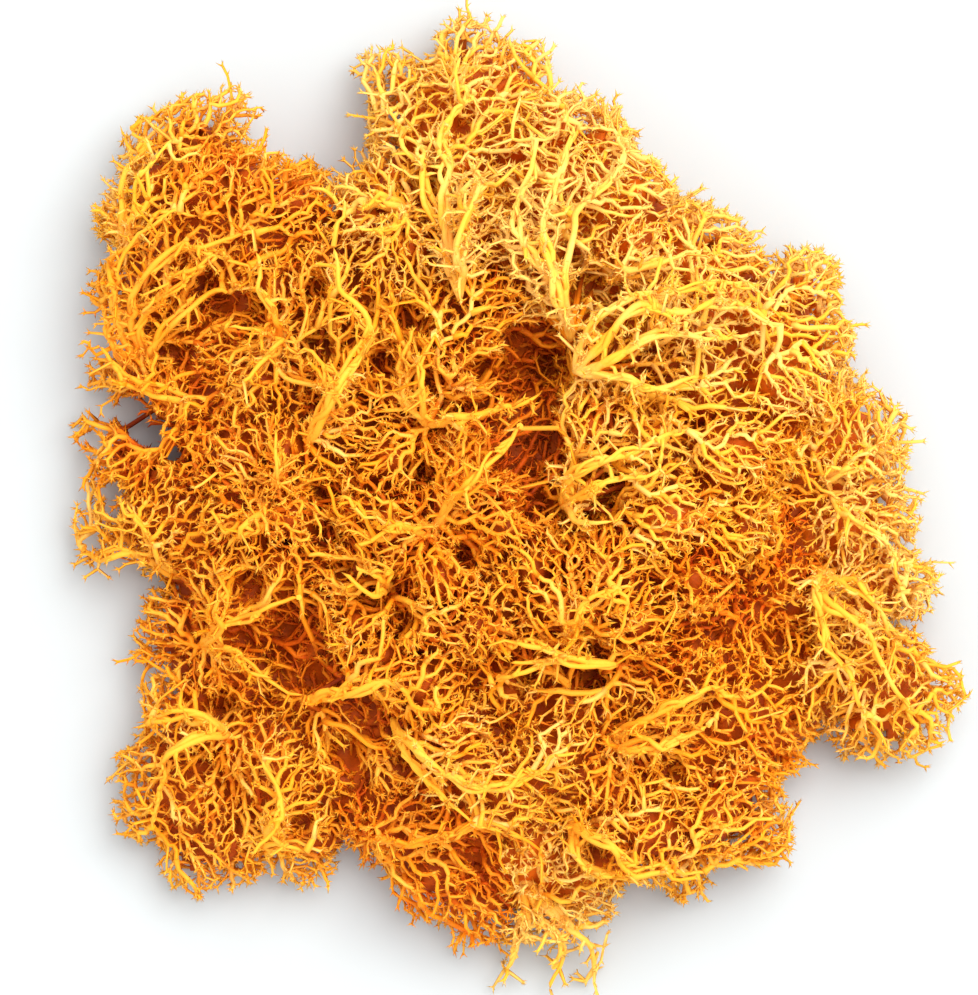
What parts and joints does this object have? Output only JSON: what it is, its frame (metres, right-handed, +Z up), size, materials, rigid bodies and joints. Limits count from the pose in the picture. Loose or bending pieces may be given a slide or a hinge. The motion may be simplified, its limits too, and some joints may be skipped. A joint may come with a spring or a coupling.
{
  "type": "curly moss",
  "caption": "Loose handful of curly dyed lichen, sold as curly moss: bushy tufts of thick stems that fork into fine star-tipped twigs, tangled into a low springy clump.",
  "frame": {"origin": "the flat spot under the middle of the clump, on the surface it lies on", "axes": "+Z up from the surface, +Y towards the top of the clump as pictured from above, +X to its right"},
  "size_m": [0.1167, 0.124, 0.0341],
  "materials": {
    "deep_dye": "matt, soft",
    "amber_dye": "matt, soft",
    "golden_dye": "matt, soft",
    "pale_dye": "matt, soft"
  },
  "bodies": {
    "root": {"tuft_hook": "amber_dye", "tuft_arch": "amber_dye", "tuft_lattice": "amber_dye", "tuft_west": "golden_dye", "tuft_fork": "golden_dye", "tuft_southwest": "amber_dye", "tuft_curls": "golden_dye", "tuft_bridge": "golden_dye", "tuft_antler": "pale_dye", "tuft_south": "amber_dye", "tuft_fringe": "golden_dye", "tuft_southeast": "golden_dye", "tuft_ember": "amber_dye", "tuft_sheaf": "golden_dye", "tuft_lobe": "golden_dye", "tuft_east": "golden_dye", "tuft_fan": "golden_dye", "tuft_spire": "pale_dye", "tuft_ridge": "golden_dye", "tuft_crest": "golden_dye", "tuft_collar": "golden_dye", "tuft_crook": "pale_dye", "tuft_stag": "golden_dye", "tuft_meadow": "golden_dye", "tuft_brace": "pale_dye", "tuft_heart": "golden_dye", "tuft_nest": "golden_dye", "tuft_sweep": "pale_dye", "tuft_loop": "golden_dye", "tuft_glow": "deep_dye"}
  },
  "joints": []
}
